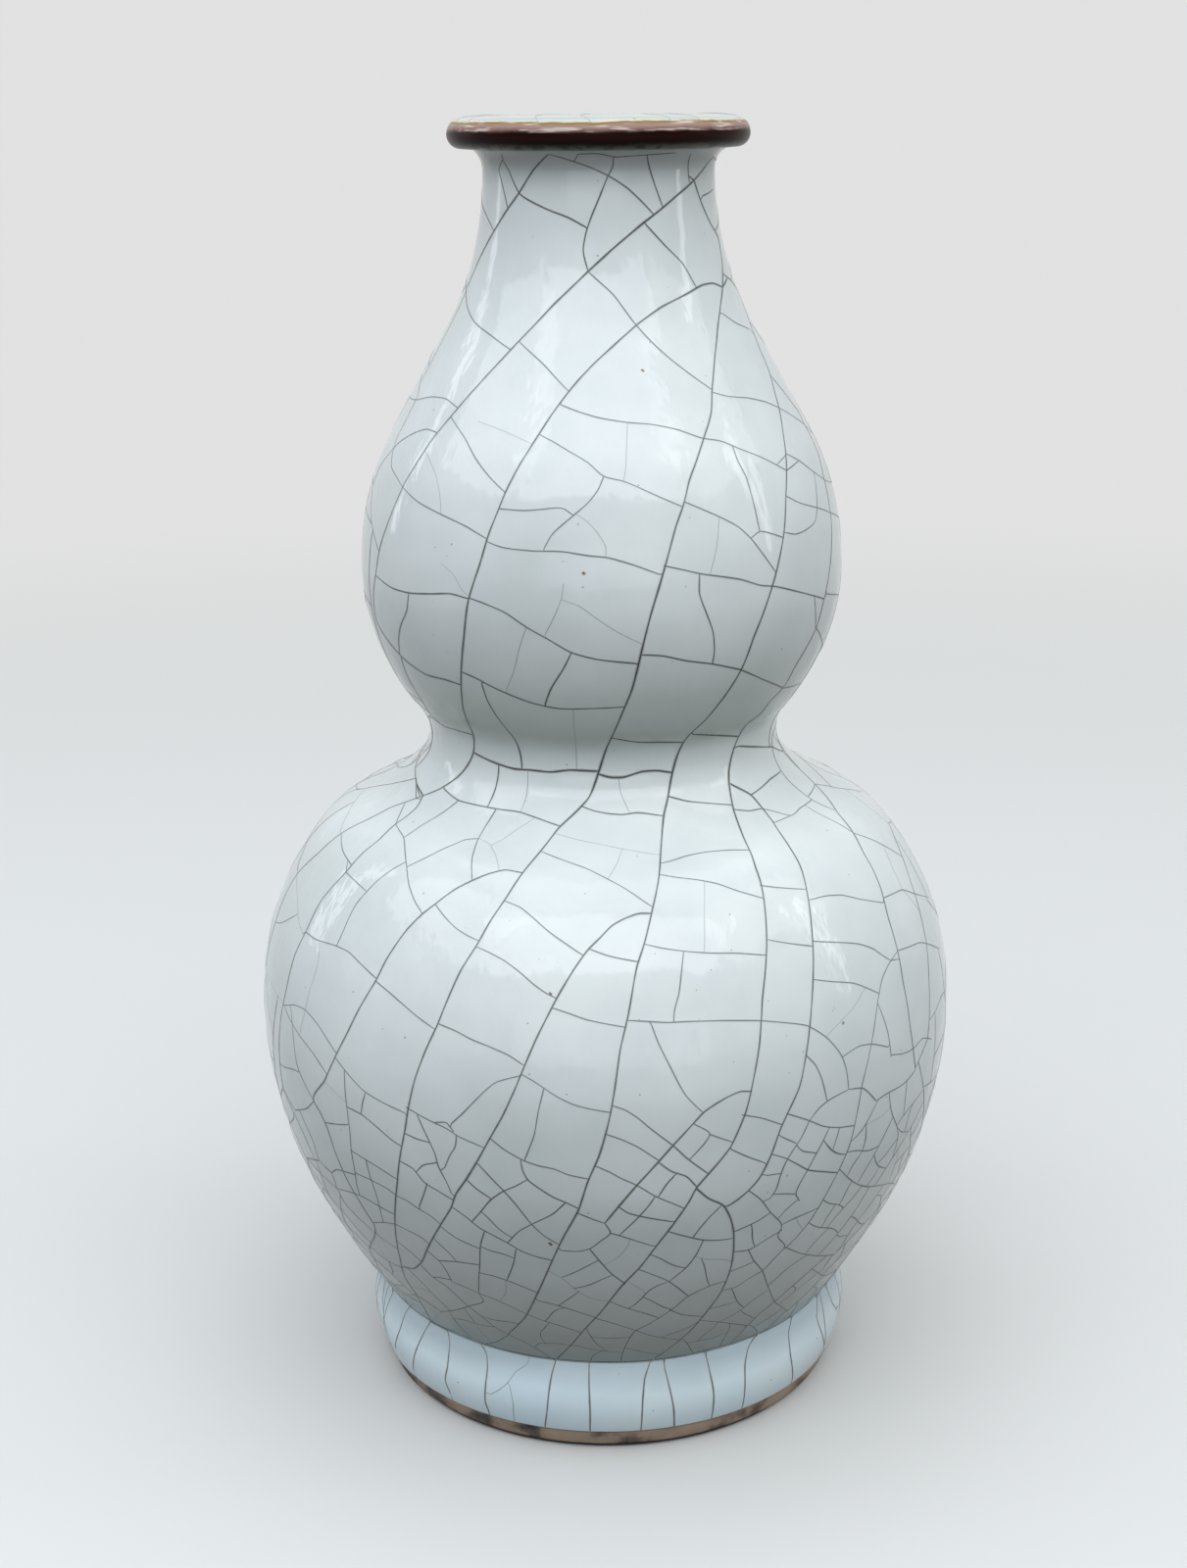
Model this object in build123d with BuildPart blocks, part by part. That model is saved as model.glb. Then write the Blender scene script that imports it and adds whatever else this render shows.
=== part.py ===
from build123d import *
import math
import os

# A double gourd vase in crackle-glazed stoneware. It is thrown in sections on the wheel,
# which are luted together one above the other at bevelled seams, and glazed as one form.
# All lengths are in millimetres. The foot rests on z = 0, and the axis of the wheel is Z.

# The whole vase
vase_height = 260.0
wall = 4.6
lute_rise = 2.6
band_width = 15.0
band_turn = 32.0

# Lower bulb. Each pair of arcs meets where its share says, counted from the lower end or from the belly.
belly_diameter = 144.0
belly_height = 83.0
flare_share = 0.858
heel_share = 0.315
shoulder_share = 0.751

# Waist. A tight cove turns out of it, and opens into a wider hollow on top of the shoulder.
waist_diameter = 71.2
waist_height = 139.6
cove_radius = 8.0
cove_turn = 40.0
hollow_radius = 30.6
hollow_turn = 28.2

# Upper bulb. Its shoulder runs straight between two arcs, whose tangents are shares of its rise.
upper_belly_diameter = 96.5
upper_belly_height = 174.0
underside_share = 0.186
bulb_tangent_share = 0.191
neck_tangent_share = 0.211

# Neck and lip
neck_diameter = 45.0
collar_height = 10.0
lip_diameter = 58.4
lip_depth = 6.4
lip_edge_radius = 1.4
lip_share = 0.4887
under_lip_diameter = 48.6
crown_diameter = 41.0
mouth_diameter = 37.6
mouth_drop = 1.7

# Foot
foot_height = 20.5
cove_diameter = 99.2
foot_diameter = 102.6
foot_bulge_share = 0.45
glaze_line_height = 5.0
glaze_line_diameter = 99.8
glaze_step = 0.5
rest_diameter = 96.4
rim_bevel = 1.2
rest_width = 5.4
foot_inner_diameter = 81.0
base_recess = 14.5
floor_thickness = 6.5
floor_diameter = 66.0

UP = Vector(0, 1)
OUT = Vector(1, 0)


def meeting_point(start, start_heading, end, end_heading, share):
    """Where two arcs meet without a kink: one leaves start along its heading, the other reaches end along its own.

    The tangents at both ends are drawn out in the ratio share to 1 - share, until their far points lie as far
    apart as both tangents are long. The arcs meet on the line between those points, at that share of it, so
    they close whatever the sizes are. Both headings are unit vectors.
    """
    across = end - start
    mean_heading = start_heading * share + end_heading * (1 - share)
    advance = across.dot(mean_heading)
    spare = (1 - mean_heading.dot(mean_heading)) * across.dot(across)
    tangents = across.dot(across) / (advance + math.sqrt(advance**2 + spare))
    start_reach = start + start_heading * (share * tangents)
    end_reach = end - end_heading * ((1 - share) * tangents)
    return start_reach + (end_reach - start_reach) * share


def inner_bands(run, first_band):
    """Points one wall inside an upward run of the outline, one for each band that the rib leaves."""
    turn = (run % 0).get_angle(run % 1)
    bands = max(first_band + 1, round(run.length / band_width), round(turn / band_turn))
    return [
        run @ (band / bands) + (run % (band / bands)).rotate(Axis.Z, 90) * wall
        for band in range(first_band, bands)
    ]


# Seams: outer and inner corner of each bevelled lute joint
belly = Vector(belly_diameter / 2, belly_height)
belly_inner = belly + Vector(-wall, lute_rise)
waist = Vector(waist_diameter / 2, waist_height)
waist_inner = waist + Vector(-wall, lute_rise)
upper_belly = Vector(upper_belly_diameter / 2, upper_belly_height)
upper_belly_inner = upper_belly + Vector(-wall, lute_rise)
neck = Vector(neck_diameter / 2, vase_height - collar_height)
neck_inner = neck + Vector(-wall, lute_rise)
seat_outer = Vector(cove_diameter / 2, foot_height)
seat_inner = Vector(foot_inner_diameter / 2, base_recess)

# Foot ring: turned from a thick coil, bare below the glaze line, bevelled where it rests.
with BuildPart() as foot_ring:
    with BuildSketch(Plane.XZ):
        with BuildLine():
            bulge_height = glaze_line_height + (foot_height - glaze_line_height) * foot_bulge_share
            glaze_edge = Vector(glaze_line_diameter / 2, glaze_line_height)
            ThreePointArc(glaze_edge, (foot_diameter / 2, bulge_height), seat_outer)
            Polyline(
                seat_outer,
                seat_inner,
                (foot_inner_diameter / 2, rim_bevel),
                (rest_diameter / 2 - rim_bevel - rest_width, 0),
                (rest_diameter / 2 - rim_bevel, 0),
                (rest_diameter / 2, rim_bevel),
                (glaze_line_diameter / 2 - glaze_step, glaze_line_height),
                glaze_edge,
            )
        make_face()
    revolve(axis=Axis.Z)
foot_ring.part.label = "foot_ring"

# Lower bowl: the floor and the wall up to the widest line, seated on the foot ring.
with BuildPart() as lower_bowl:
    with BuildSketch(Plane.XZ):
        with BuildLine():
            lean = UP.get_angle(belly - seat_outer)
            flare = UP.rotate(Axis.Z, -2 * lean * flare_share)
            bowl_turn = meeting_point(seat_outer, flare, belly, UP, heel_share)
            lower_run = TangentArc(seat_outer, bowl_turn, tangent=flare)
            upper_run = TangentArc(bowl_turn, belly, tangent=lower_run % 1)
            wall_points = inner_bands(lower_run, 1) + inner_bands(upper_run, 0)
            floor_top = base_recess + floor_thickness
            floor_edge = Vector(floor_diameter / 2, floor_top)
            heel = TangentArc(floor_edge, wall_points[0], tangent=OUT, mode=Mode.PRIVATE)
            Polyline(
                belly,
                belly_inner,
                *reversed(wall_points),
                heel @ (1 / 2),
                floor_edge,
                (0, floor_top),
                (0, base_recess),
                seat_inner,
                seat_outer,
            )
        make_face()
    revolve(axis=Axis.Z)
lower_bowl.part.label = "lower_bowl"

# Lower shoulder: closes the lower bulb, and turns up into the waist in a hollow and a tight cove.
with BuildPart() as lower_shoulder:
    with BuildSketch(Plane.XZ):
        with BuildLine():
            cove = JernArc(waist, -UP, cove_radius, cove_turn, mode=Mode.PRIVATE)
            hollow = JernArc(cove @ 1, cove % 1, hollow_radius, hollow_turn, mode=Mode.PRIVATE)
            shoulder_turn = meeting_point(belly, UP, hollow @ 1, (hollow % 1) * -1, shoulder_share)
            belly_run = TangentArc(belly, shoulder_turn, tangent=UP)
            shoulder_run = TangentArc(shoulder_turn, hollow @ 1, tangent=belly_run % 1)
            hollow_run = TangentArc(hollow @ 1, cove @ 1, tangent=shoulder_run % 1)
            cove_run = TangentArc(cove @ 1, waist, tangent=hollow_run % 1)
            shoulder_points = inner_bands(belly_run, 1) + inner_bands(shoulder_run, 0)
            waist_points = inner_bands(hollow_run, 0) + inner_bands(cove_run, 0)
            Polyline(
                waist,
                waist_inner,
                *reversed(shoulder_points + waist_points),
                belly_inner,
                belly,
            )
        make_face()
    revolve(axis=Axis.Z)
lower_shoulder.part.label = "lower_shoulder"

# Upper bowl: from the waist out to the upper bulb's widest line.
with BuildPart() as upper_bowl:
    with BuildSketch(Plane.XZ):
        with BuildLine():
            underside_turn = meeting_point(waist, UP, upper_belly, UP, underside_share)
            waist_run = TangentArc(waist, underside_turn, tangent=UP)
            underside_run = TangentArc(underside_turn, upper_belly, tangent=waist_run % 1)
            Polyline(
                upper_belly,
                upper_belly_inner,
                *reversed(inner_bands(waist_run, 1) + inner_bands(underside_run, 0)),
                waist_inner,
                waist,
            )
        make_face()
    revolve(axis=Axis.Z)
upper_bowl.part.label = "upper_bowl"

# Upper shoulder: draws the upper bulb in to the neck's narrowest line.
with BuildPart() as upper_shoulder:
    with BuildSketch(Plane.XZ):
        with BuildLine():
            rise = vase_height - collar_height - upper_belly_height
            bulb_tangent = rise * bulb_tangent_share
            neck_tangent = rise * neck_tangent_share
            slope_foot = upper_belly + UP * bulb_tangent
            slope_head = neck - UP * neck_tangent
            slope = (slope_head - slope_foot).normalized()
            slope_start = slope_foot + slope * bulb_tangent
            slope_end = slope_head - slope * neck_tangent
            upper_belly_run = TangentArc(upper_belly, slope_start, tangent=UP)
            slope_run = Line(slope_start, slope_end)
            neck_run = TangentArc(slope_end, neck, tangent=slope)
            wall_points = inner_bands(upper_belly_run, 1) + inner_bands(slope_run, 0) + inner_bands(neck_run, 0)
            Polyline(
                neck,
                neck_inner,
                *reversed(wall_points),
                upper_belly_inner,
                upper_belly,
            )
        make_face()
    revolve(axis=Axis.Z)
upper_shoulder.part.label = "upper_shoulder"

# Mouth rim: a rolled collar whose lip overhangs the neck.
with BuildPart() as mouth_rim:
    with BuildSketch(Plane.XZ):
        with BuildLine():
            under_lip = vase_height - lip_depth
            lip_root = Vector(under_lip_diameter / 2, under_lip)
            neck_flare = TangentArc(neck, lip_root, tangent=UP)
            lip_underside = Line(lip_root, (lip_diameter / 2 - lip_edge_radius, under_lip))
            lip_edge = JernArc(lip_underside @ 1, OUT, lip_edge_radius, 90)
            crown = Vector(crown_diameter / 2, vase_height)
            lip_side = lip_edge @ 1
            lip_turn = meeting_point(lip_side, UP, crown, -OUT, lip_share)
            lip_face = TangentArc(lip_side, lip_turn, tangent=UP)
            lip_top = TangentArc(lip_turn, crown, tangent=lip_face % 1)
            mouth_edge = Vector(mouth_diameter / 2, vase_height - mouth_drop)
            TangentArc(crown, mouth_edge, tangent=-OUT)
            Polyline(mouth_edge, neck_inner, neck)
        make_face()
    revolve(axis=Axis.Z)
mouth_rim.part.label = "mouth_rim"

pieces = [foot_ring, lower_bowl, lower_shoulder, upper_bowl, upper_shoulder, mouth_rim]
os.makedirs("parts", exist_ok=True)
for piece in pieces:
    export_step(piece.part, f"parts/{piece.part.label}.step")
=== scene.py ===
import math
import bpy
import numpy as np
from mathutils import Matrix
from mathutils.kdtree import KDTree


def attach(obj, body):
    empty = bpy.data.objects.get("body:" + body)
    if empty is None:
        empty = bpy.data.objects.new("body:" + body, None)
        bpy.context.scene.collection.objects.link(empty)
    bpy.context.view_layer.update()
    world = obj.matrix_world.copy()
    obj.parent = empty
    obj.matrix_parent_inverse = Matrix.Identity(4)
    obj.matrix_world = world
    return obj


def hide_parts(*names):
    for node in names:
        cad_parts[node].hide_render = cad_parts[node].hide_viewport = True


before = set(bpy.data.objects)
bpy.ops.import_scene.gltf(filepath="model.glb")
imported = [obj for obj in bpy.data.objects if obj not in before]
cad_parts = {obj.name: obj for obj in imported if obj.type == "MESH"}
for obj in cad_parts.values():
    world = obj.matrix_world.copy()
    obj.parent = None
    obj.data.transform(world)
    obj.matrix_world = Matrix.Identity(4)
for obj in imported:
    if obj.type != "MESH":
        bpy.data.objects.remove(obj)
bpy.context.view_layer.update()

# CAMERA
# Level with the lip, about 450 mm off, and turned down. Lengths in this file are millimetres until a mesh
# is made. The focal length and the column of the vase's axis are pixels of the 1211 x 1600 photograph.
MM = 0.001
photo_width, photo_height = 1211, 1600
focal_pixels = 2300.0
axis_pixel = 616.04
camera_distance, camera_height = 448.5, 260.3
camera_pitch = math.radians(16.6)
camera_roll = math.radians(-0.52)


def placed(name, data):
    """A new object with this data, in the scene."""
    made = bpy.data.objects.new(name, data)
    bpy.context.collection.objects.link(made)
    return made


camera_data = bpy.data.cameras.new("camera")
camera_data.sensor_width = 36.0
camera_data.lens = camera_data.sensor_width * focal_pixels / photo_height
camera_data.shift_x = -(axis_pixel - photo_width / 2) / photo_height
camera_data.clip_start = 0.01
camera = placed("camera", camera_data)
camera.matrix_world = (
    Matrix.Translation((0, -camera_distance * MM, camera_height * MM))
    @ Matrix.Rotation(math.pi / 2 - camera_pitch, 4, "X")
    @ Matrix.Rotation(camera_roll, 4, "Z")
)
bpy.context.scene.camera = camera

# FOOT RING
# Stoneware, turned from a thick coil of clay. Glazed outside down to a drip edge, bare below it and on its
# inside, where the kiln has toasted the clay pink and tan. It stands on a narrow flat between two bevels.

# A point of an outline is radius + i height, and a heading is such a number of length 1.
seat = 49.6 + 20.5j
foot_widest = 51.3 + 11.975j
glaze_edge = 49.9 + 5.0j
foot_bore, rest_edge, rim_bevel, rest_width = 40.5, 48.2, 1.2, 5.4
base_recess = 14.5
glaze_step = 0.5
buried = 3.0
around = 320
sharp_turn = math.radians(35)
oval_swing, oval_twist = 0.22, 90
lobe_swing, lobe_twist = 0.12, 55
ring_swing, ring_pitch = 0.014, 7.0
ridge_swing, ridge_pitch = 0.05, 23.0
still_radius, fade_width = 15, 12


def arc(start, heading, end, step):
    """Points and headings of the arc that leaves start along heading and passes through end.

    Half the turn is the angle from the heading to the chord. The point at share t lies the chord times
    sin(half t) / sin(half) away, turned back by half (1 - t).
    """
    chord = end - start
    half = np.angle(chord / heading)
    bent = abs(half) > 1e-9
    length = abs(chord) * (half / np.sin(half) if bent else 1.0)
    share = np.linspace(0, 1, max(3, round(length / step) + 1))
    along = np.sin(half * share) / np.sin(half) if bent else share
    points = start + chord * along * np.exp(1j * half * (share - 1))
    return np.array([points, heading * np.exp(2j * half * share)])


def arc_through(start, middle, end, step):
    """The arc through three points, whose first heading is the chord turned back by the bend at the middle."""
    chord = end - start
    bend = np.angle((end - middle) / (middle - start))
    return arc(start, chord / abs(chord) * np.exp(-1j * bend), end, step)


def line(start, end, step):
    """Points and headings of a straight run."""
    share = np.linspace(0, 1, max(2, round(abs(end - start) / step) + 1))
    return np.array([start + (end - start) * share, np.full(share.size, (end - start) / abs(end - start))])


def chain(*runs):
    """Runs end to end, each without the point that it shares with the one before."""
    return np.hstack([runs[0]] + [run[:, 1:] for run in runs[1:]])


def thrown(outline, angle):
    """Radius + i height with what hand and kiln leave: a slight oval, three lobes, and throwing rings.

    Oval and lobes are slow waves round the axis that twist with height. The rings are two spirals up the
    wall, one fine and one broad. All of them fade out towards the axis.
    """
    radius, height = outline.real, outline.imag
    oval = oval_swing * np.cos(2 * angle + 0.6 + height / oval_twist)
    lobes = lobe_swing * np.cos(3 * angle - 1.1 - height / lobe_twist)
    rings = ring_swing * np.sin(2 * np.pi * height / ring_pitch + angle)
    ridges = ridge_swing * np.sin(2 * np.pi * height / ridge_pitch - 2 * angle)
    fade = np.clip((radius - still_radius) / fade_width, 0, 1)
    return outline + (oval + lobes + (rings + ridges)) * fade


def in_space(place, angle):
    """Radius + i height at an angle round the axis, as x, y and z."""
    return np.stack([place.real * np.cos(angle), place.real * np.sin(angle), place.imag], axis=-1)


def body(name, points, faces):
    """A new object whose mesh has these points, in millimetres, and these faces."""
    mesh = bpy.data.meshes.new(name)
    mesh.from_pydata((np.array(points) * MM).tolist(), [], faces)
    return placed(name, mesh)


def turned(name, outline):
    """A closed body of revolution: the outline's points carried round the axis, as thrown() moves them.

    The outline runs up its outside and down its inside, and either closes on itself or starts and ends on
    the axis, where a fan of triangles closes each pole. Edges round a corner of the outline are sharp.
    """
    poles = abs(outline[0].real) < 1e-6
    rings = outline[1:-1] if poles else outline
    angle = np.linspace(0, 2 * np.pi, around, endpoint=False)
    points = in_space(thrown(rings[:, None], angle[None, :]), angle).reshape(-1, 3)
    row = np.arange(len(rings) - 1 if poles else len(rings))[:, None]
    column = np.arange(around)[None, :]
    next_column = (column + 1) % around
    here, above = row * around, (row + 1) % len(rings) * around
    quads = np.stack([here + column, here + next_column, above + next_column, above + column], axis=-1)
    faces = quads.reshape(-1, 4).tolist()
    if poles:
        count, last = len(points), (len(rings) - 1) * around
        points = np.vstack([points, [0, 0, outline[0].imag], [0, 0, outline[-1].imag]])
        first_fan = np.stack([np.full(around, count), next_column[0], column[0]], axis=-1)
        last_fan = np.stack([last + column[0], last + next_column[0], np.full(around, count + 1)], axis=-1)
        faces += first_fan.tolist() + last_fan.tolist()
    piece = body(name, points, faces)
    mesh = piece.data
    mesh.polygons.foreach_set("use_smooth", np.ones(len(faces), dtype=bool))
    before, after = (outline[:-2], outline[2:]) if poles else (np.roll(rings, 1), np.roll(rings, -1))
    corner = np.abs(np.angle((after - rings) / (rings - before))) > sharp_turn
    ends = np.empty(2 * len(mesh.edges), dtype=np.int32)
    mesh.edges.foreach_get("vertices", ends)
    ends = ends.reshape(-1, 2)
    ring = np.minimum(ends // around, len(rings) - 1)
    sharp = (ring[:, 0] == ring[:, 1]) & corner[ring[:, 0]] & (ends.max(axis=1) < len(rings) * around)
    mesh.attributes.new("sharp_edge", "BOOLEAN", "EDGE").data.foreach_set("value", sharp)
    return piece


def colour(code):
    """A colour written as sRGB hex, turned to linear light: v / 12.92 below 0.04045, else a power of 2.4."""
    value = np.array([int(code[at:at + 2], 16) for at in (1, 3, 5)]) / 255
    linear = np.where(value <= 0.04045, value / 12.92, ((value + 0.055) / 1.055) ** 2.4)
    return (*linear.tolist(), 1.0)


def node(tree, kind, settings=None, links=None, stops=(), output=0):
    """Adds a node to a tree, sets its properties or input values and a ramp's stops, and links its inputs.

    It gives back one of the node's outputs, by number or name.
    """
    made = tree.nodes.new(kind)
    for name, value in (settings or {}).items():
        if isinstance(name, str) and hasattr(made, name):
            setattr(made, name, value)
        else:
            made.inputs[name].default_value = value
    for name, socket in (links or {}).items():
        tree.links.new(socket, made.inputs[name])
    for number, (at, code) in enumerate(stops):
        stop = made.color_ramp.elements[number] if number < 2 else made.color_ramp.elements.new(at)
        stop.position, stop.color = at, colour(code)
    return made.outputs[output]


def finish(name, **settings):
    """A new material, its node tree and its Principled shader, whose own sockets take the settings."""
    material = bpy.data.materials.new(name)
    material.use_nodes = True
    shader = material.node_tree.nodes["Principled BSDF"]
    for socket, value in settings.items():
        shader.inputs[socket.replace("_", " ")].default_value = value
    return material, material.node_tree, shader


foot_face = arc_through(glaze_edge, foot_widest, seat, step=0.8)
foot_glaze = turned("foot_glaze", np.array([*foot_face[0], seat - buried, glaze_edge - buried]))
foot_clay = turned("foot_clay", np.array([
    foot_bore + 1j * rim_bevel, rest_edge - rim_bevel - rest_width, rest_edge - rim_bevel,
    rest_edge + 1j * rim_bevel, glaze_edge - glaze_step, glaze_edge - buried, seat - buried, seat,
    foot_bore + 1j * base_recess,
]))

# Iron-bearing stoneware clay, unglazed: dull and faintly gritty, pink to tan, with grey-black stains. It is
# burnt black in a line under the glaze's edge, and a second black line low down, where it rests, is a painted
# contact shadow.
blotch_size, grit_size = 9, 0.8
toasts = ((0.3, "#454144"), (0.39, "#857568"), (0.46, "#c4a994"), (0.6, "#d8bda4"), (0.75, "#dfc7ae"))
line_waver = 0.6
drip_line_heights, rest_shadow_heights = (4.5, 5.2), (1.9, 1.3)

bare_clay, tree, shader = finish("bare_stoneware", Roughness=0.8)
place = node(tree, "ShaderNodeTexCoord", output="Object")
blotches, grit = (
    node(tree, "ShaderNodeTexNoise", {"Scale": 1 / (size * MM), "Detail": detail}, {"Vector": place})
    for size, detail in ((blotch_size, 5.0), (grit_size, 2.0))
)
toasted = node(tree, "ShaderNodeValToRGB", {}, {"Fac": blotches}, toasts)
height = node(tree, "ShaderNodeSeparateXYZ", links={0: place}, output="Z")
waver = {"operation": "MULTIPLY_ADD", 1: line_waver * MM}
edge = node(tree, "ShaderNodeMath", waver, {0: blotches, 2: height})
drip_line, rest_shadow_line = (
    node(
        tree, "ShaderNodeMapRange",
        {"interpolation_type": "SMOOTHSTEP", "From Min": none * MM, "From Max": full * MM}, {"Value": edge},
    )
    for none, full in (drip_line_heights, rest_shadow_heights)
)
# The lower black line, where the ring rests, is a painted contact shadow.
lines = node(tree, "ShaderNodeMath", {"operation": "MAXIMUM"}, {0: drip_line, 1: rest_shadow_line})
burnt_and_shadow_black = {"data_type": "RGBA", 7: colour("#14110f")}
burnt_and_shadowed = node(tree, "ShaderNodeMix", burnt_and_shadow_black, {0: lines, 6: toasted}, output=2)
tree.links.new(burnt_and_shadowed, shader.inputs["Base Color"])
grain = node(tree, "ShaderNodeBump", {"Strength": 0.5, "Distance": 0.15 * MM}, {"Height": grit})
tree.links.new(grain, shader.inputs["Normal"])
foot_clay.data.materials.append(bare_clay)

# Feldspar glaze over slip, fired glossy. It is faintly clouded over 10 to 30 mm, greyer and greener where it
# lay thick and ran together: above the foot, in the waist and under the lip. The same greyer shade, laid by
# height, is also painted shade on the undersides of both bulbs, in the waist, on the neck under the lip and on
# the lip's top. Its skin ripples like orange peel, and it has pinholes of up to 0.4 mm where bubbles broke and
# a few brown iron specks.
vase_height = 260.0
cloud_size, cloud_lift, cloud_stops = 26, 5, (0.3, 0.5, 0.7)
peel_size, peel_stretch = 7, (1, 1, 0.35)
pinhole_spacing, pinhole_share = 3.4, 0.065
speck_spacing, speck_shares = 24, (0.022, 0.010)


def feldspar_glaze(name, shades, thick_and_shaded, pooling_and_shade):
    """The glaze as a material: clouds between three shades, laid under a greyer shade that is partly thick
    glaze and partly painted shade.

    Its pairs of depths give a height and a grey from 0 to 1: black shows none of the greyer shade, white only
    it.
    """
    material, tree, shader = finish(name, Roughness=0.08, IOR=1.5)
    place = node(tree, "ShaderNodeTexCoord", output="Object")
    cloud_noise = {"Scale": 1 / (cloud_size * MM), "Detail": 4.0}
    clouds = node(tree, "ShaderNodeTexNoise", cloud_noise, {"Vector": place})
    clouded = node(tree, "ShaderNodeValToRGB", {}, {"Fac": clouds}, zip(cloud_stops, shades))
    height = node(tree, "ShaderNodeSeparateXYZ", links={0: place}, output="Z")
    lift = {"operation": "MULTIPLY_ADD", 1: cloud_lift * MM, 2: -cloud_lift / 2 * MM}
    runs = node(tree, "ShaderNodeMath", lift, {0: clouds})
    uneven = node(tree, "ShaderNodeMath", {"operation": "ADD"}, {0: height, 1: runs})
    level = node(tree, "ShaderNodeMapRange", {"From Max": vase_height * MM}, {"Value": uneven})
    greys = [(at / vase_height, "#" + 3 * f"{round(255 * depth):02x}") for at, depth in pooling_and_shade]
    depth = node(tree, "ShaderNodeValToRGB", {}, {"Fac": level}, greys)
    # The greyer shade laid by height is partly pooled glaze and partly painted shade.
    thick_and_shaded_colour = {"data_type": "RGBA", 7: colour(thick_and_shaded)}
    shaded = node(tree, "ShaderNodeMix", thick_and_shaded_colour, {0: depth, 6: clouded}, output=2)
    holes = node(tree, "ShaderNodeTexVoronoi", {"Scale": 1 / (pinhole_spacing * MM)}, {"Vector": place})
    chosen = node(tree, "ShaderNodeSeparateColor", links={"Color": holes.node.outputs["Color"]}, output="Red")
    size = node(tree, "ShaderNodeMath", {"operation": "MULTIPLY", 1: pinhole_share}, {0: chosen})
    pinhole = node(tree, "ShaderNodeMath", {"operation": "LESS_THAN"}, {0: holes, 1: size})
    hole_shade = {"data_type": "RGBA", 7: colour("#9fa6a4")}
    pitted = node(tree, "ShaderNodeMix", hole_shade, {0: pinhole, 6: shaded}, output=2)
    specks = node(tree, "ShaderNodeTexVoronoi", {"Scale": 1 / (speck_spacing * MM)}, {"Vector": place})
    none, full = speck_shares
    speck = node(tree, "ShaderNodeMapRange", {"From Min": none, "From Max": full}, {"Value": specks})
    iron_shade = {"data_type": "RGBA", 7: colour("#75634c")}
    specked = node(tree, "ShaderNodeMix", iron_shade, {0: speck, 6: pitted}, output=2)
    tree.links.new(specked, shader.inputs["Base Color"])
    drawn = node(tree, "ShaderNodeVectorMath", {"operation": "MULTIPLY", 1: peel_stretch}, {0: place})
    peel = node(tree, "ShaderNodeTexNoise", {"Scale": 1 / (peel_size * MM), "Detail": 3.0}, {"Vector": drawn})
    skin = node(tree, "ShaderNodeBump", {"Strength": 0.8, "Distance": 0.45 * MM}, {"Height": peel})
    tree.links.new(skin, shader.inputs["Normal"])
    return material


# Heights and greys of the greyer shade: glaze pooled above the foot, in the waist and under the lip, and
# painted shade low on the large bulb, under the small bulb, on the neck below the lip and on the lip's top.
body_pooling_and_shade = (
    (20, 1.0), (27, 0.98), (36, 0.76), (48, 0.62), (62, 0.55), (72, 0.2), (80, 0.0), (134, 0.0),
    (138.5, 0.3), (143, 0.6), (147, 1.0), (152, 0.85), (162, 0.55), (176, 0.12), (202, 0.2), (216, 0.06),
    (226, 0.0), (236, 0.0), (247, 0.2), (251, 0.5), (253.5, 0.9), (256, 0.9),
)
# On the foot the greyer shade deepens towards the top of the band, painted shade where it tucks under the
# bowl.
foot_pooling_and_shade = ((0, 0.0), (9, 0.0), (14, 0.25), (19, 1.0))
glaze = feldspar_glaze("crackle_glaze", ("#d0d8d6", "#d8dedd", "#dfe5e3"), "#a7ada5", body_pooling_and_shade)
# The foot's glaze is paler and bluer where it lay thick, and paler still as painted light that lifts the
# belly's shade off the band.
foot_glaze.data.materials.append(
    feldspar_glaze("pooled_and_lightened_crackle_glaze", ("#e3f7ff", "#e9faff", "#effdff"), "#bdcdd3", foot_pooling_and_shade)
)

for piece, slot in ((foot_glaze, "glaze"), (foot_clay, "bare_clay")):
    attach(piece, "root")
    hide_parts("foot_ring")

# LOWER BOWL
# The floor and the lower half of the large bulb, thrown thick and turned down outside. It is luted to the
# foot ring with slip, and its base lies open inside the ring, recessed and glazed.
wall, lute_rise = 4.6, 2.6
belly = 72.0 + 83.0j
up = 1j
flare_lean = 33.83
heel_share = 0.315
floor_edge, floor_top = 33.0, 21.0
rows_over_foot, rows_by_seam, inner_rows = 12, 4, 3


def meeting(start, start_heading, end, end_heading, share):
    """Where the arc leaving start goes over into the arc reaching end: the tangents at both ends, drawn out
    in the ratio share to 1 - share, have far points as far apart as both are long, and the arcs meet there.
    """
    across = end - start
    mean = start_heading * share + end_heading * (1 - share)
    advance = (across * np.conj(mean)).real
    tangents = abs(across) ** 2 / (advance + math.sqrt(advance**2 + (1 - abs(mean) ** 2) * abs(across) ** 2))
    first, last = start + start_heading * share * tangents, end - end_heading * (1 - share) * tangents
    return first + (last - first) * share


def two_arcs(start, start_heading, end, end_heading, share, step):
    """The pair of arcs from start to end that meet without a kink."""
    middle = meeting(start, start_heading, end, end_heading, share)
    first = arc(start, start_heading, middle, step)
    return chain(first, arc(middle, first[1, -1], end, step))


def inside(run, skipped=rows_by_seam):
    """The inner wall on its way down, as the rib leaves it: every third point of an upward run, without the
    skipped ones below and those by the seam above, moved one wall to the left of its heading.
    """
    return (run[0] + 1j * run[1] * wall)[skipped:-rows_by_seam:inner_rows][::-1]


def lute(corner):
    """The inner corner of a bevelled seam: one wall in, and the lute's rise up."""
    return corner - wall + 1j * lute_rise


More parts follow.
